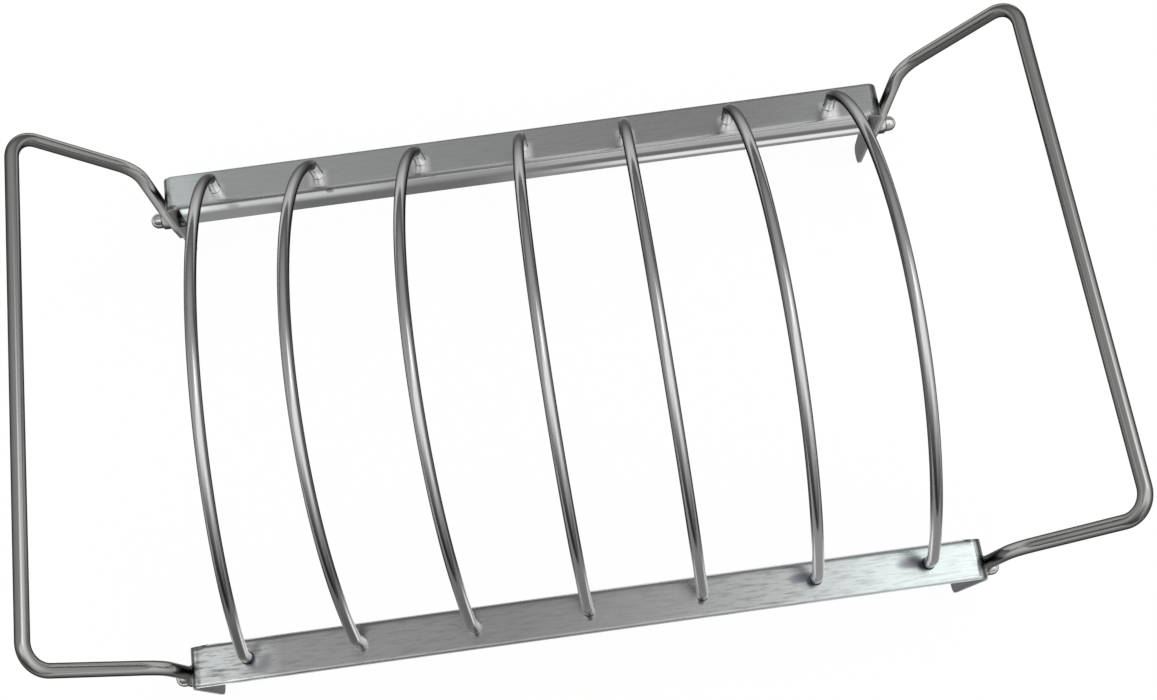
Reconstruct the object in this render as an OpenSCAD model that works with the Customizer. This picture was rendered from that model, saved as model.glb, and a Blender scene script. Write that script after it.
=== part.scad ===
// Wire rack: seven arches welded between two folded sheet rails,
// with a wire handle bolted to the feet at each end.
// X runs along the rails, Y across the rack from front to back, Z up.
// The origin is on the table, under the middle of the rack.

/* [Rack] */
// Length of a rail, over the outer faces of its two feet
rail_length = 303; // [280:1:330]
// Width of the rack, over the outer long edges of its rails
rack_width = 212; // [195:1:230]
// Height of the rails' top faces above the table
rail_height = 56; // [50:1:64]

/* [Rails] */
// Depth of a rail's top face, across the rack
rail_depth = 16; // [14:0.5:19]
// Thickness of the sheet that the rails are folded from
sheet = 1.2; // [1:0.1:1.6]
// Height of the stiffening flange along a rail's inner edge
flange_height = 15.5; // [10:0.5:20]
// Inside radius of the fold between a top face and its flange
flange_bend = 0.9; // [0.8:0.1:2]
// Inside radius of the fold between a top face and a foot
foot_bend = 3; // [2:0.1:4]
// Width of a foot at its lower end
foot_tip = 9; // [8:0.5:13]
// Radius of the lower corners of a foot
foot_corner = 4; // [2:0.5:4]
// Length of bare edge between the flange and the fold of a foot
flange_relief = 2.2; // [1:0.1:5]
// Width of the cut that parts the flange from that bare edge
relief_cut = 0.2; // [0.1:0.1:1]

/* [Arches] */
// Diameter of the arch wire
arch_wire = 4.5; // [3.6:0.1:5.4]
// Height of an arch above the rails, to the middle of its wire
arch_rise = 71; // [66:1:84]
// Angle from the top of an arch to either end of its round part
arch_half_angle = 63.5; // [60:0.5:67]
// Bend radius where an arch turns down onto a rail
arch_end_bend = 6; // [4:0.5:8]
// Distance from the outer faces of the feet to the nearest arch
arch_margin = 22; // [18:0.5:27]
// Distance from the outer edge of a rail to the welds
weld_inset = 8.5; // [6:0.5:10]

/* [Arch leans] */
// Lean of the first arch from the left, in degrees towards the right
arch_1_lean_angle = 1.7; // [-8:0.1:8]
// Lean of the second arch
arch_2_lean_angle = -6.3; // [-8:0.1:8]
// Lean of the third arch
arch_3_lean_angle = -6.7; // [-8:0.1:8]
// Lean of the fourth arch
arch_4_lean_angle = -4.1; // [-8:0.1:8]
// Lean of the fifth arch
arch_5_lean_angle = -4.4; // [-8:0.1:8]
// Lean of the sixth arch
arch_6_lean_angle = -2.1; // [-8:0.1:8]
// Lean of the seventh arch
arch_7_lean_angle = -1; // [-8:0.1:8]

/* [Handles] */
// Diameter of the handle wire
handle_wire = 5.3; // [4.4:0.1:6]
// Height of a hand grip above the rails, to the middle of its wire
grip_rise = 61.5; // [50:0.5:75]
// Distance from the feet out to a hand grip, to the middle of its wire
grip_reach = 41.5; // [36:0.5:56]
// Height above the rails at which a handle leg turns outward
elbow_rise = 20.5; // [16:0.5:28]
// Distance from the feet out to that turn
elbow_reach = 5; // [4:0.5:9]
// How far each side of a handle has leaned out at that turn
elbow_spread = 2; // [0:0.5:3]
// How far each side of a handle has leaned out at the grip
grip_spread = 3.5; // [0:0.5:4]
// Bend radius where a leg turns outward, to the middle of the wire
elbow_bend = 24; // [12:1:28]
// Bend radius at the corners of a grip, to the middle of the wire
grip_bend = 10; // [8:0.5:12]
// Thickness of the flattened end of a handle leg
eye_thickness = 3.2; // [2.2:0.1:3.6]
// Width of the flattened end of a handle leg
eye_width = 9; // [8:0.5:11]
// Length of the flattened end below its bolt
eye_tail = 17; // [8:0.5:20]

/* [Fixings] */
// Thread diameter of the bolts that hold the handles
bolt_d = 4; // [3:0.5:4]
// Depth of the bolts below the rails' top faces
bolt_drop = 25.5; // [24:0.5:28]
// Clearance round a bolt in the sheet and in a handle leg
bolt_clearance = 0.2; // [0.1:0.05:0.3]
// Clearance round a bolt in its nut
thread_clearance = 0.05; // [0.02:0.01:0.1]

/* [Hidden] */
$fn = 64;

sheet_color = "silver";
wire_color = "gainsboro";
fixing_color = "whitesmoke";

end_x = rail_length / 2;
inner_y = rail_depth - rack_width / 2;
flange_fold = flange_bend + sheet;
foot_fold = foot_bend + sheet;
flange_length = rail_length - 2 * (foot_fold + flange_relief);

arch_leans = [
    arch_1_lean_angle, arch_2_lean_angle, arch_3_lean_angle, arch_4_lean_angle,
    arch_5_lean_angle, arch_6_lean_angle, arch_7_lean_angle
];
arch_count = len(arch_leans);
arch_pitch = (rail_length - 2 * arch_margin) / (arch_count - 1);
weld_y = rack_width / 2 - weld_inset;
arch_radius = (weld_y - arch_end_bend * (1 - sin(arch_half_angle))) / sin(arch_half_angle);
arch_end_z = arch_rise - arch_radius * (1 - cos(arch_half_angle));
stub_length = arch_end_z - arch_end_bend * cos(arch_half_angle);
weld_overlap = 2;

// Two lengths of wire meet with this gap between them, inside a bead a hair wider than the wire
seam_gap = 0.1;
bead_extra = 0.04;

fixing_y = rack_width / 2 - rail_depth / 2;
fixing_z = rail_height - bolt_drop;
nut_flats = 1.75 * bolt_d;
nut_corners = nut_flats / cos(30);
nut_hex = 0.8 * bolt_d;
nut_height = 2 * bolt_d;
dome_d = 1.625 * bolt_d;
thread_length = 1.1 * bolt_d;
tip_room = 0.2 * bolt_d;
head_d = 1.9 * bolt_d;
head_height = 0.6 * bolt_d;
socket_d = 0.6 * bolt_d;
socket_depth = 0.35 * bolt_d;

// A handle leg ends just above its nut, and stands just clear of the foot behind it
leg_gap = 1;
leg_clearance = 0.4;
leg_bottom_z = fixing_z + (nut_corners + handle_wire) / 2 + leg_gap;
leg_bottom_x = end_x + handle_wire / 2 + leg_clearance;
eye_blend = 5;
elbow_y = fixing_y + elbow_spread;
grip_y = fixing_y + grip_spread;

function unit(v) = v / norm(v);

// Angle through which a path turns at its point i
function turn(path, i) = acos(unit(path[i] - path[i - 1]) * unit(path[i + 1] - path[i]));

// Length that the bend at point i takes from the straight on either side of it
function setback(path, i, bends) =
    i == 0 || i == len(path) - 1 ? 0 : bends[i] * tan(turn(path, i) / 2);

// Quarter round of folded sheet along X, turning from level at the top to upright at +Y
module fold(inside, length) {
    rotate([90, 0, 90])
        rotate_extrude(angle = 90)
            translate([inside, 0])
                square([sheet, length]);
}

// Straight round bar from one point to another
module bar(from, to, d) {
    along = unit(to - from);
    translate(from)
        rotate([0, acos(along.z), atan2(along.y, along.x)])
            cylinder(h = norm(to - from), d = d);
}

// Round bend at a corner, from the direction that comes in to the direction that goes out
module elbow(corner, into, out, bend, d) {
    angle = acos(into * out);
    inward = unit(out - into * (into * out));
    start = corner - into * bend * tan(angle / 2);
    centre = start + inward * bend;
    axis = cross(-inward, into);
    multmatrix([
        [-inward.x, into.x, axis.x, centre.x],
        [-inward.y, into.y, axis.y, centre.y],
        [-inward.z, into.z, axis.z, centre.z]
    ])
        rotate_extrude(angle = angle)
            translate([bend, 0])
                circle(d = d);
}

// Bead that joins two lengths of wire
module bead(at, d) {
    translate(at)
        sphere(d = d + bead_extra);
}

// Wire that follows a path of corner points, with its bend radius at each inner corner
// and a round tip at each end
module bent_wire(path, bends, d) {
    for (i = [0 : len(path) - 2]) {
        along = unit(path[i + 1] - path[i]);
        from = path[i] + along * setback(path, i, bends);
        to = path[i + 1] - along * setback(path, i + 1, bends);
        bar(from + along * seam_gap, to - along * seam_gap, d);
        bead(from, d);
        bead(to, d);
    }
    for (i = [1 : len(path) - 2])
        elbow(path[i], unit(path[i] - path[i - 1]), unit(path[i + 1] - path[i]), bends[i], d);
}

// Foot at the right end of the front rail, with its bolt hole
module foot() {
    foot_top = rail_height - foot_fold;
    flat = foot_tip - 2 * foot_corner;
    difference() {
        translate([end_x - sheet, -fixing_y, 0])
            rotate([90, 0, 90])
                linear_extrude(sheet) {
                    polygon([
                        [-rail_depth / 2, foot_top],
                        [rail_depth / 2, foot_top],
                        [foot_tip / 2, foot_corner],
                        [-foot_tip / 2, foot_corner]
                    ]);
                    translate([-flat / 2, 0])
                        square([flat, foot_corner]);
                    for (side = [-1, 1])
                        translate([side * flat / 2, foot_corner])
                            circle(foot_corner);
                }
        translate([end_x - 2 * sheet, -fixing_y, fixing_z])
            rotate([0, 90, 0])
                cylinder(h = 3 * sheet, d = bolt_d + 2 * bolt_clearance);
    }
    translate([end_x - foot_fold, inner_y, rail_height - foot_fold])
        rotate([0, 0, -90])
            fold(foot_bend, rail_depth);
}

// Rail along the front of the rack: top face, inner flange and two feet
module rail() {
    top_length = rail_length - 2 * foot_fold;
    bend_length = flange_length + 2 * relief_cut;
    difference() {
        translate([-top_length / 2, -rack_width / 2, rail_height - sheet])
            cube([top_length, rail_depth, sheet]);
        translate([-bend_length / 2, inner_y - flange_fold, rail_height - 2 * sheet])
            cube([bend_length, 2 * flange_fold, 3 * sheet]);
    }
    translate([-flange_length / 2, inner_y - flange_fold, rail_height - flange_fold])
        fold(flange_bend, flange_length);
    translate([-flange_length / 2, inner_y - sheet, rail_height - flange_height])
        cube([flange_length, sheet, flange_height - flange_fold]);
    foot();
    mirror([1, 0, 0])
        foot();
}

// Arc of arch wire in the plane across the rack, from one angle above +Y to another
module arch_arc(centre_y, centre_z, radius, from, to) {
    translate([0, centre_y, centre_z])
        rotate([90, 0, 90])
            rotate([0, 0, from])
                rotate_extrude(angle = to - from)
                    translate([radius, 0])
                        circle(d = arch_wire);
}

// End of an arch at the back: the bend below the round part, and the stub down to the weld
module arch_end() {
    top_angle = 90 - arch_half_angle;
    bend_y = weld_y - arch_end_bend;
    gap_angle = seam_gap / arch_end_bend * 180 / PI;
    arch_arc(bend_y, stub_length, arch_end_bend, 0, top_angle - gap_angle);
    bead([0, bend_y + arch_end_bend * cos(top_angle), arch_end_z], arch_wire);
    bead([0, weld_y, stub_length], arch_wire);
    translate([0, weld_y, -weld_overlap])
        cylinder(h = stub_length - seam_gap + weld_overlap, d = arch_wire);
}

// Arch number i from the left, cut off level where it meets the rails
module arch(i) {
    top_angle = 90 - arch_half_angle;
    translate([(i - (arch_count + 1) / 2) * arch_pitch, 0, rail_height])
        difference() {
            rotate([0, arch_leans[i - 1], 0]) {
                arch_arc(0, arch_rise - arch_radius, arch_radius, top_angle, 180 - top_angle);
                arch_end();
                mirror([0, 1, 0])
                    arch_end();
            }
            translate([-arch_pitch / 2, -rack_width / 2, -arch_pitch])
                cube([arch_pitch, rack_width, arch_pitch]);
        }
}

// Strip of flattened wire that narrows from the bolt to the width of the wire
module eye_taper(length) {
    polygon([
        [-eye_width / 2, 0],
        [eye_width / 2, 0],
        [handle_wire / 2, length],
        [-handle_wire / 2, length]
    ]);
}

// Flattened end of a handle leg at the back right, with its bolt hole
module handle_eye() {
    eye_top = leg_bottom_z + eye_blend - fixing_z;
    translate([end_x, fixing_y, fixing_z])
        rotate([90, 0, 90])
            difference() {
                linear_extrude(eye_thickness) {
                    circle(d = eye_width);
                    eye_taper(eye_top);
                    mirror([0, 1])
                        eye_taper(eye_tail - handle_wire / 2);
                    translate([0, handle_wire / 2 - eye_tail])
                        circle(d = handle_wire);
                }
                translate([0, 0, -eye_thickness])
                    cylinder(h = 3 * eye_thickness, d = bolt_d + 2 * bolt_clearance);
            }
}

// Handle at the right end
module handle() {
    elbow_x = end_x + elbow_reach;
    elbow_z = rail_height + elbow_rise;
    grip_x = end_x + grip_reach;
    grip_z = rail_height + grip_rise;
    path = [
        [leg_bottom_x, fixing_y, leg_bottom_z],
        [elbow_x, elbow_y, elbow_z],
        [grip_x, grip_y, grip_z],
        [grip_x, -grip_y, grip_z],
        [elbow_x, -elbow_y, elbow_z],
        [leg_bottom_x, -fixing_y, leg_bottom_z]
    ];
    bends = [0, elbow_bend, grip_bend, grip_bend, elbow_bend, 0];
    bent_wire(path, bends, handle_wire);
    for (side = [0, 1])
        mirror([0, side, 0])
            handle_eye();
}

// Bolt at the back right, with its head against the inside of the foot
module bolt() {
    shank = sheet + eye_thickness + thread_length;
    translate([end_x - sheet, fixing_y, fixing_z])
        rotate([0, 90, 0]) {
            cylinder(h = shank, d = bolt_d);
            translate([0, 0, -head_height])
                difference() {
                    cylinder(h = head_height, d = head_d);
                    translate([0, 0, -socket_depth])
                        cylinder(h = 2 * socket_depth, d = socket_d, $fn = 6);
                }
        }
}

// Domed cap nut at the back right, against the outside of the handle leg
module cap_nut() {
    translate([end_x + eye_thickness, fixing_y, fixing_z])
        rotate([0, 90, 0])
            difference() {
                union() {
                    cylinder(h = nut_hex, d = nut_corners, $fn = 6);
                    cylinder(h = nut_height - dome_d / 2, d = dome_d);
                    translate([0, 0, nut_height - dome_d / 2])
                        sphere(d = dome_d);
                }
                translate([0, 0, -nut_hex])
                    cylinder(h = nut_hex + thread_length + tip_room, d = bolt_d + 2 * thread_clearance);
            }
}

// Turns or mirrors what stands at the back right to another corner of the rack
module at_corner(left, front) {
    mirror([left ? 1 : 0, 0, 0])
        mirror([0, front ? 1 : 0, 0])
            children();
}

module front_rail() { color(sheet_color) rail(); }
module back_rail() { color(sheet_color) rotate([0, 0, 180]) rail(); }
module wire_arch(i) { color(wire_color) arch(i); }
module left_handle() { color(wire_color) mirror([1, 0, 0]) handle(); }
module right_handle() { color(wire_color) handle(); }
module corner_bolt(left, front) { color(fixing_color) at_corner(left, front) bolt(); }
module corner_nut(left, front) { color(fixing_color) at_corner(left, front) cap_nut(); }

front_rail();
back_rail();
for (i = [1 : arch_count])
    wire_arch(i);
left_handle();
right_handle();
for (left = [true, false], front = [true, false]) {
    corner = str(front ? "front" : "back", left ? "_left" : "_right");
    corner_bolt(left, front);
    corner_nut(left, front);
}
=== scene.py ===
import math

import bmesh
import bpy
from mathutils import Matrix, Vector


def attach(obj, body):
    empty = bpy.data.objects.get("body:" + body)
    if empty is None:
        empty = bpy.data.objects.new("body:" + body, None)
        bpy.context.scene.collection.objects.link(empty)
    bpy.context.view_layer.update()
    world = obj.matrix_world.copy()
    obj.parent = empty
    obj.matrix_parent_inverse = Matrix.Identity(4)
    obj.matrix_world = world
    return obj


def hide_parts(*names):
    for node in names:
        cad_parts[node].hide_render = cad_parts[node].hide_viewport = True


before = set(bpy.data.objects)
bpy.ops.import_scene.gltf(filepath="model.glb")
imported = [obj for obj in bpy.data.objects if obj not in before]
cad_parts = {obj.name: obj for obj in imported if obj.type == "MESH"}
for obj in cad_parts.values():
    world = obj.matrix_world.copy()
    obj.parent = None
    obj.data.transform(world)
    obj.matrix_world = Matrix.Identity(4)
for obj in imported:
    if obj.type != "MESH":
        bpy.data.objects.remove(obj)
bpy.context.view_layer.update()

# Metres in a millimetre
MM = 0.001

# Sizes of the rack in millimetres, as in the part's source
RAIL_LENGTH = 303
RACK_WIDTH = 212
RAIL_HEIGHT = 56
RAIL_DEPTH = 16
SHEET = 1.2
FLANGE_HEIGHT = 15.5
FLANGE_BEND = 0.9
FLANGE_RELIEF = 2.2
FOOT_BEND = 3
FOOT_TIP = 9
FOOT_CORNER = 4
ARCH_D = 4.5
ARCH_RISE = 71
ARCH_HALF_ANGLE = math.radians(63.5)
ARCH_END_BEND = 6
ARCH_MARGIN = 22
WELD_INSET = 8.5
LEANS = [1.7, -6.3, -6.7, -4.1, -4.4, -2.1, -1.0]
HANDLE_D = 5.3
GRIP_BEND = 10
ELBOW_BEND = 24
GRIP_RISE = 61.5
GRIP_REACH = 41.5
GRIP_SPREAD = 3.5
ELBOW_RISE = 20.5
ELBOW_REACH = 5
ELBOW_SPREAD = 2
EYE_THICKNESS = 3.2
EYE_WIDTH = 9
EYE_TAIL = 17
LEG_CLEARANCE = 0.4
BOLT_D = 4
BOLT_DROP = 25.5

# Small forms of the rails and welds that only this script has, in millimetres
EDGE_ROUNDING = 1.0
LIP_EASE = 0.64
WELD_HEIGHT = 0.6
WELD_WIDTH = 0.3

# Sizes that follow from those
END_X = RAIL_LENGTH / 2
FLANGE_FOLD = FLANGE_BEND + SHEET
FOOT_FOLD = FOOT_BEND + SHEET
TOP_HALF = END_X - FOOT_FOLD
FLANGE_HALF = TOP_HALF - FLANGE_RELIEF
FLAT_DEPTH = RAIL_DEPTH - FLANGE_FOLD
FOOT_ARC = FOOT_FOLD * math.pi / 2
FLANGE_ARC = FLANGE_FOLD * math.pi / 2
FOLD_END = FLAT_DEPTH + FLANGE_ARC
FOOT_TOP = RAIL_HEIGHT - FOOT_FOLD
FLANGE_LENGTH = FLANGE_ARC + FLANGE_HEIGHT - FLANGE_FOLD
WELD_Y = RACK_WIDTH / 2 - WELD_INSET
ARCH_R = ARCH_D / 2
ARCH_PITCH = (RAIL_LENGTH - 2 * ARCH_MARGIN) / (len(LEANS) - 1)
ARCH_XS = [(k - (len(LEANS) - 1) / 2) * ARCH_PITCH for k in range(len(LEANS))]
HANDLE_R = HANDLE_D / 2
FIXING_Y = RACK_WIDTH / 2 - RAIL_DEPTH / 2
FIXING_Z = RAIL_HEIGHT - BOLT_DROP


# Shader helpers

def grey(tone):
    return (tone, tone, tone)


def add_node(tree, kind, **values):
    """A node whose inputs, or else properties, take the values given."""
    made = tree.nodes.new(kind)
    for key, value in values.items():
        if key in made.inputs:
            made.inputs[key].default_value = value
        else:
            setattr(made, key, value)
    return made


def noise(tree, vector, scale, detail):
    """Noise over a vector in metres, stretched by scale."""
    mapping = add_node(tree, "ShaderNodeMapping", Scale=scale)
    texture = add_node(tree, "ShaderNodeTexNoise", Scale=1.0, Detail=detail, Roughness=0.6)
    tree.links.new(vector, mapping.inputs["Vector"])
    tree.links.new(mapping.outputs["Vector"], texture.inputs["Vector"])
    return texture.outputs["Fac"]


def remap(tree, value, low, high, to_low, to_high, smooth=False):
    """Value carried from one range to another and held at its ends."""
    made = add_node(tree, "ShaderNodeMapRange", interpolation_type="SMOOTHSTEP" if smooth else "LINEAR")
    for key, number in (("From Min", low), ("From Max", high), ("To Min", to_low), ("To Max", to_high)):
        made.inputs[key].default_value = number
    tree.links.new(value, made.inputs["Value"])
    return made.outputs["Result"]


def math_node(tree, operation, *values):
    """Result of an operation on values, each a number or a node's output."""
    made = add_node(tree, "ShaderNodeMath", operation=operation)
    for slot, value in zip(made.inputs, values):
        if isinstance(value, (int, float)):
            slot.default_value = value
        else:
            tree.links.new(value, slot)
    return made.outputs[0]


def product(tree, shares):
    total = shares[0]
    for share in shares[1:]:
        total = math_node(tree, "MULTIPLY", total, share)
    return total


def zone(tree, value, places):
    """Share that rises smoothly from 0 at the first place to 1 at the second, which may lie lower. Where
    there are four places, it falls again from the third to the fourth."""
    rise = remap(tree, value, places[0], places[1], 0, 1, True)
    if len(places) == 2:
        return rise
    return product(tree, [rise, remap(tree, value, places[2], places[3], 1, 0, True)])


def blend_colors(tree, share, first, second):
    """Mix of two colours, each a triple or a node's output."""
    made = add_node(tree, "ShaderNodeMix", data_type="RGBA")
    for slot, color in ((made.inputs[6], first), (made.inputs[7], second)):
        if isinstance(color, tuple):
            slot.default_value = (*color, 1)
        else:
            tree.links.new(color, slot)
    tree.links.new(share, made.inputs[0])
    return made.outputs[2]


# Sheet and wire finishes

# A grain is the scale of a noise per metre, across and along a sheet or over a wire laid straight. A spread
# is the part of the noise's range that counts.
BRUSH_GRAIN = (7000, 45, 1)
STREAK_GRAIN = (900, 110, 1)
MILL_GRAIN = (700, 9, 1)
DIE_GRAIN = (1500, 1500, 12)
NOISE_SPREAD = (0.3, 0.7)
STREAK_SPREAD = (0.34, 0.52)
SCRATCH_DEPTH = 0.03 * MM


def metal(name, color, roughness, anisotropy=0.0, edge_tint=1.0):
    """A metal, its node tree and its shader."""
    mat = bpy.data.materials.new(name)
    mat.use_nodes = True
    shader = mat.node_tree.nodes["Principled BSDF"]
    shader.inputs["Metallic"].default_value = 1.0
    shader.inputs["Base Color"].default_value = (*color, 1)
    shader.inputs["Roughness"].default_value = roughness
    shader.inputs["Anisotropic"].default_value = anisotropy
    shader.inputs["Specular Tint"].default_value = (*grey(edge_tint), 1)
    return mat, mat.node_tree, shader


def add_scratches(tree, shader, height, strength):
    made = add_node(tree, "ShaderNodeBump", Strength=strength, Distance=SCRATCH_DEPTH)
    tree.links.new(height, made.inputs["Height"])
    tree.links.new(made.outputs["Normal"], shader.inputs["Normal"])


def brushed_sheet(name, tone, roughness, anisotropy, edge_tint=1.0):
    """Sheet brushed along its length, which is V of the UV map, in metres."""
    mat, tree, shader = metal(name, grey(tone), roughness[0], anisotropy, edge_tint)
    uv = add_node(tree, "ShaderNodeUVMap", uv_map="UVMap").outputs["UV"]
    fine = noise(tree, uv, BRUSH_GRAIN, detail=3.0)
    tree.links.new(remap(tree, fine, *NOISE_SPREAD, *roughness), shader.inputs["Roughness"])
    add_scratches(tree, shader, fine, strength=0.2)
    tangent = add_node(tree, "ShaderNodeTangent", direction_type="UV_MAP", uv_map="UVMap")
    tree.links.new(tangent.outputs["Tangent"], shader.inputs["Tangent"])
    return mat, tree, shader, uv


def streaked_sheet(name, dark, light, roughness, anisotropy, edge_tint):
    """Plain sheet with broad streaks between two tones."""
    mat, tree, shader, uv = brushed_sheet(name, light, roughness, anisotropy, edge_tint)
    broad = remap(tree, noise(tree, uv, MILL_GRAIN, detail=4.0), *NOISE_SPREAD, 0, 1)
    tree.links.new(blend_colors(tree, broad, grey(dark), grey(light)), shader.inputs["Base Color"])
    return mat


def drawn_wire(name, dark, light, roughness):
    """Drawn wire with die lines along it. The attribute unbent is a point's place on the wire laid straight,
    dull is the share of its shine that is lost there, much of it painted shade, and rim the shine left at
    a grazing view."""
    mat, tree, shader = metal(name, light, roughness[0])
    least_light, least_dull = 0.86, 0.92
    unbent = add_node(tree, "ShaderNodeAttribute", attribute_name="unbent").outputs["Vector"]
    dull = add_node(tree, "ShaderNodeAttribute", attribute_name="dull").outputs["Fac"]
    rim = add_node(tree, "ShaderNodeAttribute", attribute_name="rim").outputs["Fac"]
    lines = noise(tree, unbent, DIE_GRAIN, detail=3.0)
    bright = blend_colors(tree, remap(tree, lines, *NOISE_SPREAD, least_light, 1), dark, light)
    lost = product(tree, [dull, remap(tree, lines, *NOISE_SPREAD, least_dull, 1)])
    tree.links.new(blend_colors(tree, lost, bright, dark), shader.inputs["Base Color"])
    tree.links.new(rim, shader.inputs["Specular Tint"])
    tree.links.new(remap(tree, lines, *NOISE_SPREAD, *reversed(roughness)), shader.inputs["Roughness"])
    add_scratches(tree, shader, lines, strength=0.15)
    return mat


# The inner faces of the rails take a darker, less reflective copy of the sheet as painted shade
SHEET_IN_SHADED = streaked_sheet("streaked_sheet", dark=0.20, light=0.27, roughness=(0.34, 0.45), anisotropy=0.3,
                      edge_tint=0.4)
SHEET_EDGE = streaked_sheet("sheared_edge", dark=0.16, light=0.26, roughness=(0.4, 0.5), anisotropy=0.0,
                        edge_tint=1.0)
ARCH_WIRE = drawn_wire("arch_wire", dark=grey(0.07), light=grey(0.95), roughness=(0.12, 0.2))
HANDLE_WIRE = drawn_wire("handle_wire", dark=grey(0.08), light=(0.44, 0.44, 0.43), roughness=(0.12, 0.2))
FIXING = drawn_wire("fixing", dark=grey(0.08), light=(0.74, 0.74, 0.73), roughness=(0.06, 0.12))


# Finish of the rails' outer sides, much of it painted light and shade

# Places are in millimetres: along a rail from its middle to the right, past an arch to the right, past the
# row of welds inward, past the fold of the flange downward, and past either end of the top face onto a foot.

# Tone along each rail, painted reflections of the studio's lights, with brush streaks: place along it,
# tone, blueness, and the share of tone lost in streaks
FRONT_REFLECTION_AND_STREAKS = [
    (-150, 1.0, 0.04, 0.6),
    (-137, 1.0, 0.03, 0.6),
    (-116, 0.48, 0.0, 0.2),
    (-30, 0.35, 0.0, 0.14),
    (30, 0.42, 0.0, 0.1),
    (70, 0.53, 0.02, 0.4),
    (115, 0.71, 0.08, 0.2),
]
BACK_REFLECTION_AND_STREAKS = [
    (-150, 1.0, 0.08, 0.1),
    (-141, 0.95, 0.06, 0.1),
    (-126, 0.61, 0.02, 0.06),
    (80, 0.365, 0.0, 0.08),
    (150, 0.42, 0.02, 0.1),
]

# Marks on the sheet near the welds: arch, place past it, place past its weld, half length, half width and
# colour
BURN = (0.06, 0.064, 0.09)
# After the burn, the colour of a painted dark reflection of a wire's foot, and two greys for painted
# reflected smears of the wires at the front and for darker spots on the back flange
WIRE_FOOT_REFLECTION = (0.11, 0.11, 0.12)
SMEAR_GREY = (0.24, 0.25, 0.28)
PALE_SMEAR_GREY = (0.36, 0.37, 0.39)
# At the front, the smears beside welds 1, 6 and 7 and the dark spots just in front of welds 2 to 5 are
# painted reflections of the wires in the sheet
FRONT_MARKS = [
    (1, 4.5, -2.5, 6.0, 4.5, PALE_SMEAR_GREY),
    (1, 0.8, -0.8, 2.8, 3.0, BURN),
    (2, 0.4, -2.6, 1.3, 1.6, WIRE_FOOT_REFLECTION),
    (3, 0.2, -2.8, 1.3, 1.8, WIRE_FOOT_REFLECTION),
    (4, 0.0, -2.8, 1.3, 1.5, WIRE_FOOT_REFLECTION),
    (5, -0.9, -2.4, 1.6, 1.5, WIRE_FOOT_REFLECTION),
    (6, -5.5, 1.2, 6.0, 2.4, SMEAR_GREY),
    (6, -2.0, -1.0, 2.2, 2.4, BURN),
    (7, -6.0, 1.0, 7.5, 2.8, SMEAR_GREY),
    (7, -2.3, -0.4, 2.7, 2.8, BURN),
]
# At the back, darker spots on the fold and flange below the first three arches
BACK_MARKS = [
    (1, 6.5, 10.2, 3.5, 3.2, PALE_SMEAR_GREY),
    (2, 4.2, 8.2, 2.2, 2.2, SMEAR_GREY),
    (3, 4.5, 9.5, 2.4, 2.4, SMEAR_GREY),
]

# Tints, each a tone and the zones that it keeps to: painted glints beside the back welds, then painted
# light and shade on both rails, with the feet's own tone
PAINTED_GLINTS = [(1.0, {"past_arch": (-5, -1.5, 1.5, 5), "past_weld": (-3, 0, 4, 7)})]
LEFT_HALF = (30, -30)
RIGHT_HALF = (-30, 30)
RAIL_PAINTED_LIGHT_AND_FOOT_TONE = [
    # Painted shade in the fold of the flange on the left half, and a painted highlight in it on the right
    # half
    (0.34, {"past_fold": (-3.3, -2.7, -2.1, -1.5), "along": LEFT_HALF}),
    (0.70, {"past_fold": (-2.5, -1.9, -1.1, -0.5), "along": RIGHT_HALF}),
    # Flange, with painted reflections: darker near its middle and darker still lower down
    (0.28, {"past_fold": (-1.2, 0.2), "along": (-80, -40, -10, 30)}),
    (0.10, {"past_fold": (1, 7), "along": LEFT_HALF}),
    (0.21, {"past_fold": (1, 7), "along": (-92, -118)}),
    (0.20, {"past_fold": (1, 7), "along": RIGHT_HALF}),
    # Painted dark and bright reflection lines along the flange
    (0.10, {"past_fold": (2.1, 4.1, 6.1, 8.1), "along": RIGHT_HALF}),
    (0.80, {"past_fold": (6.4, 8.0, 9.8, 11.4), "along": (-5, 60)}),
    # Painted shade on the lip between the flange and each foot
    (0.25, {"past_fold": (-3.0, -1.8), "past_end": (-3.4, -2.0)}),
    # Feet at their own tone, and painted shade in the folds above them
    (0.42, {"past_end": (5, 7)}),
    (0.08, {"past_end": (0.3, 3.0, 7, 11), "along": RIGHT_HALF}),
    (0.08, {"past_end": (2.0, 3.0, 7, 11), "along": LEFT_HALF}),
]


def rail_places(tree, uv, rightward):
    """Places of a point on a rail by name. U of the UV map runs across from the outer edge, and V rightward
    or, on the rail that is turned round, leftward."""
    split = add_node(tree, "ShaderNodeSeparateXYZ")
    tree.links.new(uv, split.inputs["Vector"])
    across = math_node(tree, "DIVIDE", split.outputs["X"], MM)
    along = math_node(tree, "MULTIPLY", split.outputs["Y"], rightward / MM)
    return {
        "along": along,
        "past_arch": math_node(tree, "WRAP", along, ARCH_PITCH / 2, -ARCH_PITCH / 2),
        "past_weld": math_node(tree, "SUBTRACT", across, WELD_INSET),
        "past_fold": math_node(tree, "SUBTRACT", across, FOLD_END),
        "past_end": math_node(tree, "SUBTRACT", math_node(tree, "ABSOLUTE", along), TOP_HALF),
    }


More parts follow.
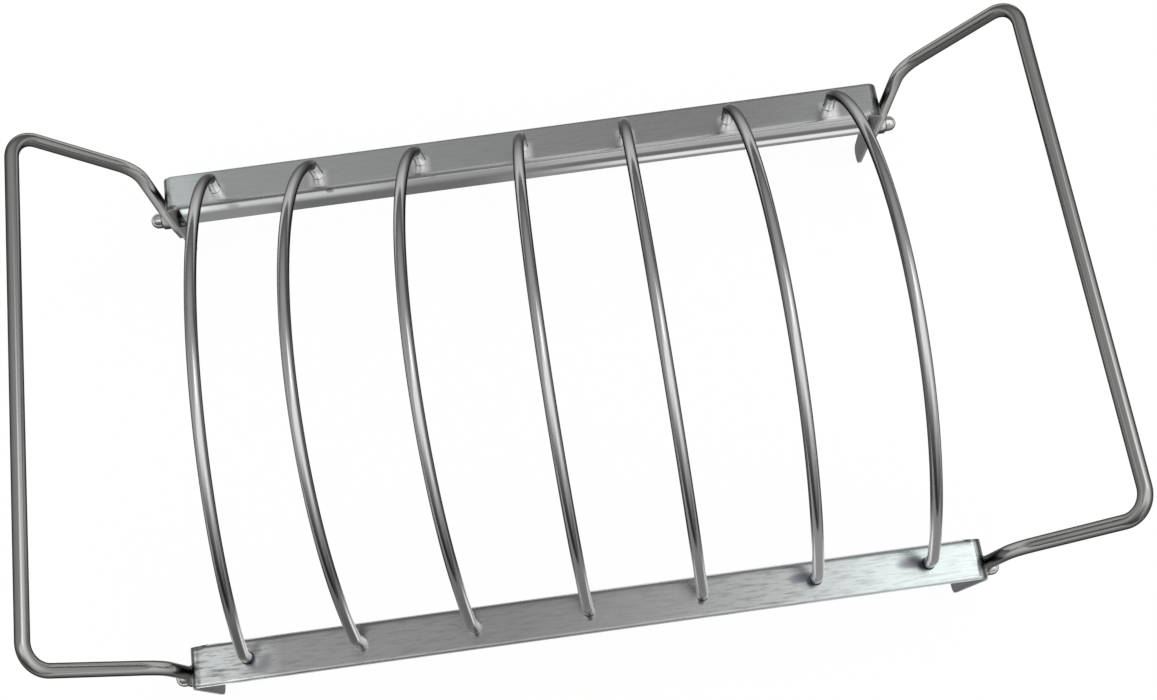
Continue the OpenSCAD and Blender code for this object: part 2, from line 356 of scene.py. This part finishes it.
def reflection_and_streaks(tree, uv, along, stops):
    """Colour that changes along a rail as painted reflections of the studio's lights, with brush streaks."""
    ramp = add_node(tree, "ShaderNodeValToRGB")
    elements = ramp.color_ramp.elements
    while len(elements) < len(stops):
        elements.new(1.0)
    for element, (x, tone, blueness, streak) in zip(elements, stops):
        element.position = x / RAIL_LENGTH + 0.5
        element.color = (tone * (1 - blueness), tone, tone, streak)
    tree.links.new(remap(tree, along, -END_X, END_X, 0, 1), ramp.inputs["Fac"])
    streaks = remap(tree, noise(tree, uv, STREAK_GRAIN, detail=3.0), *STREAK_SPREAD, 1, 0)
    kept = math_node(tree, "SUBTRACT", 1.0, product(tree, [streaks, ramp.outputs["Alpha"]]))
    streaked = add_node(tree, "ShaderNodeMix", data_type="RGBA", blend_type="MULTIPLY")
    streaked.inputs[0].default_value = 1.0
    tree.links.new(ramp.outputs["Color"], streaked.inputs[6])
    tree.links.new(kept, streaked.inputs[7])
    return streaked.outputs[2]


def tinted(tree, color, tints, places):
    """Colour under tints, each over the ones before."""
    for tone, zones in tints:
        share = product(tree, [zone(tree, places[key], span) for key, span in zones.items()])
        color = blend_colors(tree, share, color, grey(tone))
    return color


def marked(tree, color, marks, places):
    """Colour under soft oval marks, each over the ones before."""
    for number, past_arch, past_weld, half_length, half_width, shade in marks:
        squares = []
        for key, middle, half in (("along", ARCH_XS[number - 1] + past_arch, half_length),
                                  ("past_weld", past_weld, half_width)):
            off = math_node(tree, "DIVIDE", math_node(tree, "SUBTRACT", places[key], middle), half)
            squares.append(product(tree, [off, off]))
        share = remap(tree, math_node(tree, "ADD", *squares), 0, 1, 1, 0, True)
        color = blend_colors(tree, share, color, shade)
    return color


def rail_outside(name, stops, spots, marks, rightward):
    """Brushed sheet with the painted glints and marks of one rail and the painted light and shade of both.
    """
    mat, tree, shader, uv = brushed_sheet(name, tone=1.0, roughness=(0.20, 0.30), anisotropy=0.6)
    places = rail_places(tree, uv, rightward)
    color = reflection_and_streaks(tree, uv, places["along"], stops)
    color = tinted(tree, color, spots, places)
    color = marked(tree, color, marks, places)
    color = tinted(tree, color, RAIL_PAINTED_LIGHT_AND_FOOT_TONE, places)
    tree.links.new(color, shader.inputs["Base Color"])
    return mat


FRONT_SHEET = rail_outside("front_sheet", FRONT_REFLECTION_AND_STREAKS, [], FRONT_MARKS, rightward=1)
BACK_SHEET = rail_outside("back_sheet", BACK_REFLECTION_AND_STREAKS, PAINTED_GLINTS, BACK_MARKS, rightward=-1)


# Mesh helpers, in millimetres

# Sides of a wire, and powers of the superellipse for a round and a squarish section
WIRE_SIDES = 32
ROUND = 2.0
SQUARISH = 5.0


def make(name, verts, faces, mats, uvs=None):
    """Object with a mesh, in the scene."""
    mesh = bpy.data.meshes.new(name)
    mesh.from_pydata([Vector(v) * MM for v in verts], [], faces)
    for mat in mats:
        mesh.materials.append(mat)
    if uvs:
        layer = mesh.uv_layers.new(name="UVMap")
        for loop in mesh.loops:
            layer.data[loop.index].uv = uvs[loop.vertex_index]
    piece = bpy.data.objects.new(name, mesh)
    bpy.context.scene.collection.objects.link(piece)
    return piece


def finish_mesh(piece, rounding=0.0, rounded=None):
    """Applies the modifiers, turns all faces outward and rounds the edges that a rule picks."""
    sharp = math.radians(40)
    graph = bpy.context.evaluated_depsgraph_get()
    mesh = bpy.data.meshes.new_from_object(piece.evaluated_get(graph))
    piece.modifiers.clear()
    piece.data = mesh
    work = bmesh.new()
    work.from_mesh(mesh)
    bmesh.ops.recalc_face_normals(work, faces=work.faces)
    if rounding:
        edges = [edge for edge in work.edges if edge.calc_face_angle(0) > sharp and rounded(edge)]
        bmesh.ops.bevel(work, geom=edges, offset=rounding * MM, offset_type="OFFSET", segments=3,
                        profile=0.5, affect="EDGES", clamp_overlap=True)
    for face in work.faces:
        face.smooth = True
    for edge in work.edges:
        edge.smooth = edge.calc_face_angle(0) < sharp
    work.to_mesh(mesh)
    work.free()


def stand_for(piece, cad_node):
    """Puts a piece on the rack's one body, in place of a CAD node."""
    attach(piece, "root")
    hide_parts(cad_node)


def steps(first, last, count):
    return [first + (last - first) * k / count for k in range(count + 1)]


def ease(value, low, high):
    """Smooth step from 0 at low to 1 at high."""
    share = min(max((value - low) / (high - low), 0.0), 1.0)
    return share * share * (3 - 2 * share)


def ring(centre, first, second, power=ROUND):
    """Points of a superellipse with the half axes given as vectors."""
    points = []
    for k in range(WIRE_SIDES):
        angle = 2 * math.pi * k / WIRE_SIDES
        c, s = math.cos(angle), math.sin(angle)
        c = math.copysign(abs(c) ** (2 / power), c)
        s = math.copysign(abs(s) ** (2 / power), s)
        points.append(centre + first * c + second * s)
    return points


def loft(name, rings, mat, girth):
    """Skin over rings. Each has its points, its length along the piece, a rule for how dull the skin is at
    an angle round it, painted shade included, and the shine of its rim. Girth is the radius of the piece
    laid straight."""
    count = len(rings[0][0])
    verts = [p for points, _, _, _ in rings for p in points]
    faces = []
    for r in range(len(rings) - 1):
        for k in range(count):
            a, b = r * count + k, r * count + (k + 1) % count
            faces.append((a, b, b + count, a + count))
    faces.append(tuple(reversed(range(count))))
    faces.append(tuple(range(len(verts) - count, len(verts))))
    piece = make(name, verts, faces, [mat])
    attributes = piece.data.attributes
    attributes.new("unbent", "FLOAT_VECTOR", "POINT")
    attributes.new("dull", "FLOAT", "POINT")
    attributes.new("rim", "FLOAT", "POINT")
    for i in range(len(verts)):
        angle = 2 * math.pi * (i % count) / count
        _, along, dull, rim = rings[i // count]
        place = Vector((girth * math.cos(angle), girth * math.sin(angle), along))
        attributes["unbent"].data[i].vector = place * MM
        attributes["dull"].data[i].value = dull(angle)
        attributes["rim"].data[i].value = rim
    finish_mesh(piece)
    return piece


def tangents(path):
    last = len(path) - 1
    return [(path[min(i + 1, last)] - path[max(i - 1, 0)]).normalized() for i in range(last + 1)]


def lengths(path):
    """Distance of each point from the start of a path."""
    out = [0.0]
    for a, b in zip(path, path[1:]):
        out.append(out[-1] + (b - a).length)
    return out


def bent_path(corners, bends, step):
    """Dense path through corners, with each inner corner rounded to its bend radius."""
    least_count, degrees_per_step = 4, 5
    points = [corners[0]]
    for before, corner, after, bend in zip(corners, corners[1:], corners[2:], bends):
        into, out = (corner - before).normalized(), (after - corner).normalized()
        angle = into.angle(out)
        inward = (out - into * into.dot(out)).normalized()
        start = corner - into * bend * math.tan(angle / 2)
        for q in steps(0, angle, max(least_count, int(math.degrees(angle) / degrees_per_step))):
            points.append(start + inward * bend * (1 - math.cos(q)) + into * bend * math.sin(q))
    points.append(corners[-1])
    dense = [points[0]]
    for a, b in zip(points, points[1:]):
        count = max(1, int((b - a).length / step))
        dense += [a.lerp(b, k / count) for k in range(1, count + 1)]
    return dense


# Rails

def foot_half_width(z):
    """Half width of a foot at a height, tapered, with rounded lower corners."""
    if z >= FOOT_CORNER:
        share = (z - FOOT_CORNER) / (FOOT_TOP - FOOT_CORNER)
        return (FOOT_TIP + (RAIL_DEPTH - FOOT_TIP) * share) / 2
    return FOOT_TIP / 2 - FOOT_CORNER + math.sqrt(FOOT_CORNER ** 2 - (FOOT_CORNER - z) ** 2)


def folded(u, v, flange):
    """Where a point of the flat sheet lies once the front rail is folded. U runs along the rail from its
    middle, and v across it from its outer edge."""
    outer_y = -RACK_WIDTH / 2
    eased = LIP_EASE * v / RAIL_DEPTH
    past_top = abs(u) - TOP_HALF
    if past_top > 0:
        turn = min(past_top / FOOT_FOLD, math.pi / 2)
        x = TOP_HALF + FOOT_FOLD * math.sin(turn)
        z = FOOT_TOP + FOOT_FOLD * math.cos(turn) - max(past_top - FOOT_ARC, 0)
        half = foot_half_width(max(z, 0)) if z < FOOT_TOP else RAIL_DEPTH / 2
        across = (v / RAIL_DEPTH - 0.5) * 2 * half - eased * max(z, 0) / RAIL_HEIGHT
        return Vector((math.copysign(x, u), outer_y + RAIL_DEPTH / 2 + across, max(z, 0)))
    past_flat = v - FLAT_DEPTH
    straightened = 0 if flange else ease(abs(u), FLANGE_HALF, TOP_HALF)
    if past_flat > 0 and straightened < 1:
        radius = FLANGE_FOLD / (1 - straightened)
        turn = min(past_flat / radius, math.pi / 2)
        y = outer_y + FLAT_DEPTH + radius * math.sin(turn) - eased * straightened
        z = RAIL_HEIGHT - radius * (1 - math.cos(turn)) - max(past_flat - FLANGE_ARC, 0)
        return Vector((u, y, z))
    return Vector((u, outer_y + v - eased * straightened, RAIL_HEIGHT))


def outer_edge(edge):
    """Whether an edge is the upper one along the outside of a rail."""
    slack = 0.01
    outside_y = (RACK_WIDTH / 2 - slack) * MM
    along_outside = all(abs(v.co.y) > outside_y and v.co.z > FOOT_TOP * MM for v in edge.verts)
    return along_outside and any(face.material_index == 0 for face in edge.link_faces)


def rail(name, cad_node, turn, outside):
    """Folded strip of sheet, turned into its place."""
    edge_strip, digits = 1.5, 5
    foot_start = TOP_HALF + FOOT_ARC
    corner_start = foot_start + FOOT_TOP - FOOT_CORNER
    ends = (steps(FLANGE_HALF, TOP_HALF, 6)[1:]
            + steps(TOP_HALF, foot_start, 14)[1:]
            + steps(foot_start, corner_start, 10)[1:]
            + [corner_start + FOOT_CORNER * math.sin(q) for q in steps(0, math.pi / 2, 10)[1:]])
    flange_us = steps(-FLANGE_HALF, FLANGE_HALF, 72)
    left_us = [-u for u in reversed(ends)] + [-FLANGE_HALF]
    right_us = [FLANGE_HALF] + ends
    flat_vs = [0] + steps(edge_strip, FLAT_DEPTH, 6)
    lip_vs = steps(FLAT_DEPTH, RAIL_DEPTH, 3)
    flange_vs = steps(FLAT_DEPTH, FOLD_END, 12) + steps(FOLD_END, FLAT_DEPTH + FLANGE_LENGTH, 6)[1:]
    index, verts, uvs, faces = {}, [], [], []

    def vertex(u, v, flange):
        key = (round(u, digits), round(v, digits), flange and v > FLAT_DEPTH)
        if key not in index:
            index[key] = len(verts)
            verts.append(turn @ folded(u, v, flange))
            uvs.append((v * MM, u * MM))
        return index[key]

    def patch(us, vs, flange):
        for a, b in zip(us, us[1:]):
            for c, d in zip(vs, vs[1:]):
                faces.append([vertex(u, v, flange) for u, v in ((a, c), (b, c), (b, d), (a, d))])

    patch(left_us + flange_us[1:] + right_us[1:], flat_vs, False)
    patch(left_us, lip_vs, False)
    patch(right_us, lip_vs, False)
    patch(flange_us, flange_vs, True)
    piece = make(name, verts, faces, [outside, SHEET_IN_SHADED, SHEET_EDGE], uvs)
    solid = piece.modifiers.new("solid", "SOLIDIFY")
    solid.thickness = SHEET * MM
    solid.offset = -1
    solid.use_even_offset = True
    solid.material_offset = 1
    solid.material_offset_rim = 2
    finish_mesh(piece, EDGE_ROUNDING, outer_edge)
    stand_for(piece, cad_node)


rail("front_rail_sheet", "front_rail", Matrix.Identity(3), FRONT_SHEET)
rail("back_rail_sheet", "back_rail", Matrix.Rotation(math.pi, 3, "Z"), BACK_SHEET)


# Dullness and painted shade of the wires

# Share of shine left at a grazing view
WIRE_RIM = 0.15
FIXING_RIM = 0.08


def painted_flank_shade(share, everywhere=0.0, middle_shade=0.0, bright_rim=0.0):
    """Rule for a wire whose flanks lose a share of their shine as painted shade, and whose middle may carry
    more painted shade, up to a rim left bright on each side. An angle's side runs from 0 on the middle line
    to 1 at the flank."""
    flank_start, flank_full = 0.45, 0.9
    plain_start, growth, softness = 0.75, 0.2, 0.22
    rim_start = plain_start - growth * bright_rim
    rim_full = rim_start + softness

    def rule(angle):
        side = abs(math.sin(angle))
        on_flank = share * ease(side, flank_start, flank_full)
        on_middle = middle_shade * (1 - ease(side, rim_start, rim_full))
        return everywhere + (1 - everywhere) * max(on_flank, on_middle)

    return rule


# Arches

# Weld bead round each end of an arch: heights above the rail, and widths beyond the wire
WELD_BEAD = [(WELD_HEIGHT * q, WELD_WIDTH * (1 - q) ** 2) for q in steps(0, 1, 6)]

# Finish at the front of each arch from left to right: share of painted shade on its front leg, share of
# that shade left off at the weld, and share of shine burnt off at the weld
FRONT_LEG_SHADES = [0.9, 0.9, 0.86, 0.82, 0.8, 0.7, 0.75]
WELD_SHADE_LEFT_OFF = [0.0, 1.0, 1.0, 0.3, 0.3, 0.0, 0.0]
WELD_BURNS = [0.9, 0.0, 0.0, 0.0, 0.0, 0.6, 0.9]

# Share of shine lost all over an arch, further painted shade on its back rise, and further painted shade
# on the middle of its front, where the rim is bright
SATIN = 0.36
BACK_RISE_SHADE = 0.12
FRONT_MIDDLE_SHADE = 0.1

# Stretches of an arch over which its finish changes, in millimetres from its back weld
SATIN_START = (8, 22)
HOOK_FLANKS = (10, 26)
BACK_RISE = (40, 80)

# The same from its front weld
WELD_ZONE = (1.0, 4.5)
RIM_ZONE = (20, 42)
FLANKS_END = (22, 45)
FRONT_SHADE_ZONE = (42, 85)


def arch_path():
    """Path of an upright arch from its back weld to its front one, above the middle of the rails."""
    sine, cosine = math.sin(ARCH_HALF_ANGLE), math.cos(ARCH_HALF_ANGLE)
    radius = (WELD_Y - ARCH_END_BEND * (1 - sine)) / sine
    stub = ARCH_RISE - radius * (1 - cosine) - ARCH_END_BEND * cosine
    low_angle = math.pi / 2 - ARCH_HALF_ANGLE
    heights = [height for height, _ in WELD_BEAD] + steps(WELD_HEIGHT, stub, 4)[1:]
    half = [Vector((0, WELD_Y, height)) for height in heights]
    for q in steps(0, low_angle, 8)[1:]:
        y = WELD_Y - ARCH_END_BEND * (1 - math.cos(q))
        half.append(Vector((0, y, stub + ARCH_END_BEND * math.sin(q))))
    for q in steps(low_angle, math.pi / 2, 56)[1:]:
        half.append(Vector((0, radius * math.cos(q), ARCH_RISE - radius + radius * math.sin(q))))
    return half + [Vector((0, -p.y, p.z)) for p in reversed(half[:-1])]


def arch_finish(number, from_back, to_front):
    """Rule for how dull an arch is, much of it painted shade, and the shine of its rim, at distances from
    its two welds.
    """
    bright_rim = 1 - ease(to_front, *RIM_ZONE)
    at_weld = 1 - ease(to_front, *WELD_ZONE)
    on_back_rise = 1 - ease(from_back, *BACK_RISE)
    middle_shade = (FRONT_LEG_SHADES[number - 1] + FRONT_MIDDLE_SHADE * bright_rim) * (1 - ease(to_front, *FRONT_SHADE_ZONE))
    middle_shade *= 1 - WELD_SHADE_LEFT_OFF[number - 1] * at_weld
    burnt = WELD_BURNS[number - 1] * at_weld
    flanks = (ease(from_back, *HOOK_FLANKS) + 1 - on_back_rise) / 2 * ease(to_front, *FLANKS_END)
    satin_and_shade = (SATIN + BACK_RISE_SHADE * on_back_rise) * ease(from_back, *SATIN_START) * (1 - bright_rim)
    everywhere = satin_and_shade + (1 - satin_and_shade) * burnt
    rim = WIRE_RIM + (1 - WIRE_RIM) * bright_rim * (1 - burnt)
    return painted_flank_shade(flanks, everywhere, middle_shade, bright_rim), rim


def arch(number):
    """Leaning wire with a weld bead at each end, cut level with the rail."""
    lean = Matrix.Rotation(math.radians(LEANS[number - 1]), 3, "Y")
    foot = Vector((ARCH_XS[number - 1], 0, RAIL_HEIGHT))
    flank = lean @ Vector((1, 0, 0))
    upright = lean @ Vector((0, 0, 1))
    path = [lean @ p for p in arch_path()]
    last = len(path) - 1
    total = lengths(path)[-1]
    rings = []
    for i, (p, tangent, along) in enumerate(zip(path, tangents(path), lengths(path))):
        from_end = min(i, last - i)
        in_bead = from_end < len(WELD_BEAD)
        thick = ARCH_R + (WELD_BEAD[from_end][1] if in_bead else 0)
        outward = flank.cross(tangent)
        points = ring(p, outward * thick, tangent.cross(outward) * thick)
        if in_bead:
            height = WELD_BEAD[from_end][0]
            points = [q + upright * ((height - q.z) / upright.z) for q in points]
        dull, rim = arch_finish(number, along, total - along)
        rings.append(([q + foot for q in points], along, dull, rim))
    piece = loft(f"arch_{number}_wire", rings, ARCH_WIRE, ARCH_R)
    stand_for(piece, f"arch_{number}")


for number in range(1, len(LEANS) + 1):
    arch(number)


# Handles

# Height above its bolt from which a leg runs straight to its elbow, and the share of that run over which its
# flattened end turns into round wire
LEG_RISE = 8
BLEND_SHARE = 0.2


def flattened_end(back, leg):
    """Stations up the flattened end of a leg: centre, half thickness, half width and power of each."""
    y = back * FIXING_Y
    middle_x = END_X + EYE_THICKNESS / 2
    tail_z = FIXING_Z - EYE_TAIL
    round_z = tail_z + HANDLE_R
    thick, wide = EYE_THICKNESS / 2, EYE_WIDTH / 2
    tip = 0.25
    stations = []
    for q in steps(0, math.pi / 2, 6):
        z = tail_z + HANDLE_R * (1 - math.cos(q))
        stations.append((Vector((middle_x, y, z)), thick, max(tip, HANDLE_R * math.sin(q)), SQUARISH))
    for f in steps(0, 1, 6)[1:]:
        z = round_z + (FIXING_Z - BOLT_D / 2 - round_z) * f
        stations.append((Vector((middle_x, y, z)), thick, HANDLE_R + (wide - HANDLE_R) * f, SQUARISH))
    eye = Vector((middle_x, y, FIXING_Z + BOLT_D / 2))
    stations.append((eye, thick, wide, SQUARISH))
    for f in steps(0, 1, 11)[1:-1]:
        share = ease(f, 0, 1)
        centre = eye.lerp(leg, f)
        centre.x = middle_x + (leg.x - middle_x) * share
        stations.append((centre, thick + (HANDLE_R - thick) * share, wide + (HANDLE_R - wide) * share,
                         SQUARISH + (ROUND - SQUARISH) * share))
    return stations


def handle(name, cad_node, side):
    """Bent wire from one flattened end to the other, at the right end or mirrored to the left."""
    step, tilt = 2.0, 0.3
    # Heights between which the handle's flanks take on painted shade
    dull_start = RAIL_HEIGHT + 4
    dull_full = RAIL_HEIGHT + ELBOW_RISE + 8
    corners, ends = {}, {}
    for back in (1, -1):
        foot = Vector((END_X + HANDLE_R + LEG_CLEARANCE, back * FIXING_Y, FIXING_Z + LEG_RISE))
        knee = Vector((END_X + ELBOW_REACH, back * (FIXING_Y + ELBOW_SPREAD), RAIL_HEIGHT + ELBOW_RISE))
        grip = Vector((END_X + GRIP_REACH, back * (FIXING_Y + GRIP_SPREAD), RAIL_HEIGHT + GRIP_RISE))
        leg = foot.lerp(knee, BLEND_SHARE)
        corners[back] = [leg, knee, grip]
        ends[back] = flattened_end(back, leg)
    wire = bent_path(corners[1] + corners[-1][::-1], [ELBOW_BEND, GRIP_BEND, GRIP_BEND, ELBOW_BEND], step)
    stations = ends[1] + [(p, HANDLE_R, HANDLE_R, ROUND) for p in wire] + ends[-1][::-1]
    flip = Vector((side, 1, 1))
    path = [station[0] * flip for station in stations]
    inward = Vector((-tilt * side, 0, 1))
    rings = []
    for (_, thick, wide, power), p, tangent, along in zip(stations, path, tangents(path), lengths(path)):
        upper = (inward - tangent * inward.dot(tangent)).normalized()
        points = ring(p, upper * thick, tangent.cross(upper) * wide, power)
        rings.append((points, along, painted_flank_shade(ease(p.z, dull_start, dull_full)), WIRE_RIM))
    piece = loft(name, rings, HANDLE_WIRE, HANDLE_R)
    stand_for(piece, cad_node)


handle("right_handle_wire", "right_handle", 1)
handle("left_handle_wire", "left_handle", -1)


# Bolts and cap nuts

# Half the angle that a side of a hexagon spans
HALF_SIDE = math.pi / 6


def shaded_all_over(steepness):
    """Rule for a screw darkened all over as painted shade, the same at any steepness."""
    return lambda angle: 1.0


def painted_side_shade(steepness):
    """Rule for a fixing, bright on top and with painted shade round its sides. Steepness is how far the skin
    faces away from the axis."""
    side_shade, unshaded_start, unshaded_full = 0.95, 0.3, 0.7
    return lambda angle: side_shade * (1 - ease(steepness * math.sin(angle), unshaded_start, unshaded_full))


def turned(name, profile, at, way, dull):
    """Rings about X. A profile row is a distance along X, a radius and the width of a hexagon that bounds
    the ring, or None."""
    count = 72
    rings = []
    last = len(profile) - 1
    for i, (along, radius, flats) in enumerate(profile):
        before, after = profile[max(i - 1, 0)], profile[min(i + 1, last)]
        run, rise = abs(after[0] - before[0]), abs(after[1] - before[1])
        steepness = run / math.hypot(run, rise)
        points = []
        for k in range(count):
            angle = 2 * math.pi * k / count
            r = radius
            if flats:
                from_flat = (angle + HALF_SIDE) % (2 * HALF_SIDE) - HALF_SIDE
                r = min(radius, flats / 2 / math.cos(from_flat))
            points.append(at + Vector((way * along, r * math.cos(angle), r * math.sin(angle))))
        rings.append((points, along, dull(steepness), FIXING_RIM))
    return loft(name, rings, FIXING, BOLT_D / 2)


def cap_nut(corner, way, y):
    """Domed nut on a chamfered hexagon, outside a handle's leg."""
    flats, hex_height = 1.75 * BOLT_D, 0.8 * BOLT_D
    dome, height = 1.625 * BOLT_D / 2, 2 * BOLT_D
    corners = flats / 2 / math.cos(HALF_SIDE)
    chamfer, neck, tip = 0.8, 0.15, 0.03
    base_cut, base_height = 0.5, 0.3
    profile = [(0, corners - base_cut, flats), (base_height, corners, flats)]
    for f in steps(0, 1, 4):
        profile.append((hex_height - chamfer * (1 - f), corners - chamfer * f * f, flats))
    profile += [(hex_height, dome + neck, None), (hex_height + neck, dome, None)]
    for q in steps(0, math.pi / 2, 14):
        profile.append((height - dome + dome * math.sin(q), max(tip, dome * math.cos(q)), None))
    at = Vector((way * (END_X + EYE_THICKNESS), y, FIXING_Z))
    piece = turned(f"{corner}_nut", profile, at, way, painted_side_shade)
    stand_for(piece, f"{corner}_cap_nut")


def bolt(corner, way, y):
    """Screw with a rounded head and a hexagon socket, inside a foot."""
    head, head_height, round_off = 0.95 * BOLT_D, 0.6 * BOLT_D, 0.8
    socket, socket_depth = 0.6 * BOLT_D * math.cos(HALF_SIDE), 0.35 * BOLT_D
    socket_flare, flare_depth = 0.15, 0.1
    shank = SHEET + EYE_THICKNESS + 1.1 * BOLT_D
    chamfer = 0.3
    profile = [(shank, BOLT_D / 2 - chamfer, None), (shank - chamfer, BOLT_D / 2, None),
               (0, BOLT_D / 2, None), (0, head, None)]
    for q in steps(0, math.pi / 2, 6):
        along = -head_height + round_off * (1 - math.sin(q))
        profile.append((along, head - round_off * (1 - math.cos(q)), None))
    profile += [(-head_height, socket, socket + socket_flare), (-head_height + flare_depth, socket, socket),
                (-head_height + socket_depth, socket, socket)]
    at = Vector((way * (END_X - SHEET), y, FIXING_Z))
    piece = turned(f"{corner}_screw", profile, at, way, shaded_all_over)
    stand_for(piece, f"{corner}_bolt")


for row, y in (("front", -FIXING_Y), ("back", FIXING_Y)):
    for end, way in (("left", -1), ("right", 1)):
        cap_nut(f"{row}_{end}", way, y)
        bolt(f"{row}_{end}", way, y)


# Floor, light and camera

def floor():
    """White floor. What the camera and reflections see of it is mostly its own white, the rest is lit."""
    reach = 12000
    lit_tone, glow, glow_share = 0.86, 1.05, 0.9
    piece = make("floor", [(-reach, -reach, 0), (reach, -reach, 0), (reach, reach, 0), (-reach, reach, 0)],
                 [(0, 1, 2, 3)], [])
    mat = bpy.data.materials.new("floor")
    mat.use_nodes = True
    tree = mat.node_tree
    tree.nodes.clear()
    surface = add_node(tree, "ShaderNodeOutputMaterial").inputs["Surface"]
    lit = add_node(tree, "ShaderNodeBsdfDiffuse", Color=(*grey(lit_tone), 1)).outputs[0]
    white = add_node(tree, "ShaderNodeEmission", Color=(1, 1, 1, 1), Strength=glow).outputs[0]
    rays = add_node(tree, "ShaderNodeLightPath").outputs
    seen = math_node(tree, "MAXIMUM", rays["Is Camera Ray"], rays["Is Glossy Ray"])
    seen = math_node(tree, "MAXIMUM", seen, rays["Is Transmission Ray"])
    mix = add_node(tree, "ShaderNodeMixShader")
    tree.links.new(math_node(tree, "MULTIPLY", seen, glow_share), mix.inputs[0])
    tree.links.new(lit, mix.inputs[1])
    tree.links.new(white, mix.inputs[2])
    tree.links.new(mix.outputs[0], surface)
    piece.data.materials.append(mat)


# Grey room of the studio: its tones low down, overhead and, as a share, in front, and the parts of a
# direction over which they change
ROOM_LOW = 0.13
ROOM_HIGH = 0.46
ROOM_FRONT = 0.6
ROOM_RISE = (0.0, 0.9)
ROOM_DEPTH = (-0.8, -0.4)

# Soft panel overhead: its strength, the slants of its back and front edges, and the zones where it fades
PANEL = 0.74
BACK_SLANT = -0.35
FRONT_SLANT = 0.13
PANEL_BACK = (0.2, -0.06)
PANEL_FRONT = (-0.72, -0.26)
PANEL_SIDES = (-0.95, -0.35, 0.7, 1.3)

# Small soft lights: direction, angle of the even core, angle of the rim, strength
LIGHTS = [
    ((0.36, 0.18, 0.92), 6, 15, 1.0),
    ((0.37, -0.8, 0.47), 10, 34, 0.45),
    ((-0.97, 0.05, 0.2), 8, 30, 0.4),
]


def studio():
    """Grey room with a wide soft panel overhead, as a world that depends on direction only."""
    world = bpy.data.worlds.new("studio")
    bpy.context.scene.world = world
    world.use_nodes = True
    tree = world.node_tree
    direction = add_node(tree, "ShaderNodeTexCoord").outputs["Generated"]
    split = add_node(tree, "ShaderNodeSeparateXYZ")
    tree.links.new(direction, split.inputs["Vector"])
    x, y, z = split.outputs
    room = product(tree, [remap(tree, z, *ROOM_RISE, ROOM_LOW, ROOM_HIGH, True),
                          remap(tree, y, *ROOM_DEPTH, ROOM_FRONT, 1, True)])
    back = math_node(tree, "ADD", y, math_node(tree, "MULTIPLY", x, BACK_SLANT))
    front = math_node(tree, "ADD", y, math_node(tree, "MULTIPLY", x, FRONT_SLANT))
    panel = product(tree, [zone(tree, back, PANEL_BACK), zone(tree, front, PANEL_FRONT),
                           zone(tree, x, PANEL_SIDES)])
    total = math_node(tree, "ADD", room, math_node(tree, "MULTIPLY", panel, PANEL))
    for way, core, rim, strength in LIGHTS:
        facing = add_node(tree, "ShaderNodeVectorMath", operation="DOT_PRODUCT")
        facing.inputs[1].default_value = Vector(way).normalized()
        tree.links.new(direction, facing.inputs[0])
        outer, inner = math.cos(math.radians(rim)), math.cos(math.radians(core))
        spot = remap(tree, facing.outputs["Value"], outer, inner, 0.0, strength, True)
        total = math_node(tree, "ADD", total, spot)
    background = tree.nodes["Background"]
    background.inputs["Color"].default_value = (1, 1, 1, 1)
    tree.links.new(total, background.inputs["Strength"])


def camera():
    """Camera of the photograph, from a fit to the rack's corners, welds and wires."""
    lens = bpy.data.cameras.new("camera")
    lens.sensor_width = 36
    lens.lens = 48.354
    lens.shift_x = 0.03253
    lens.shift_y = -0.01513
    lens.clip_start = 0.01
    lens.clip_end = 100
    right = Vector((0.99079, -0.13216, -0.02951))
    up = Vector((0.13447, 0.93444, 0.32976))
    place = Matrix.Translation((-0.01328, -0.19084, 0.64346))
    eye = bpy.data.objects.new("camera", lens)
    eye.matrix_world = place @ Matrix((right, up, right.cross(up))).transposed().to_4x4()
    bpy.context.scene.collection.objects.link(eye)
    bpy.context.scene.camera = eye


floor()
studio()
camera()
bpy.context.scene.view_settings.view_transform = "Standard"
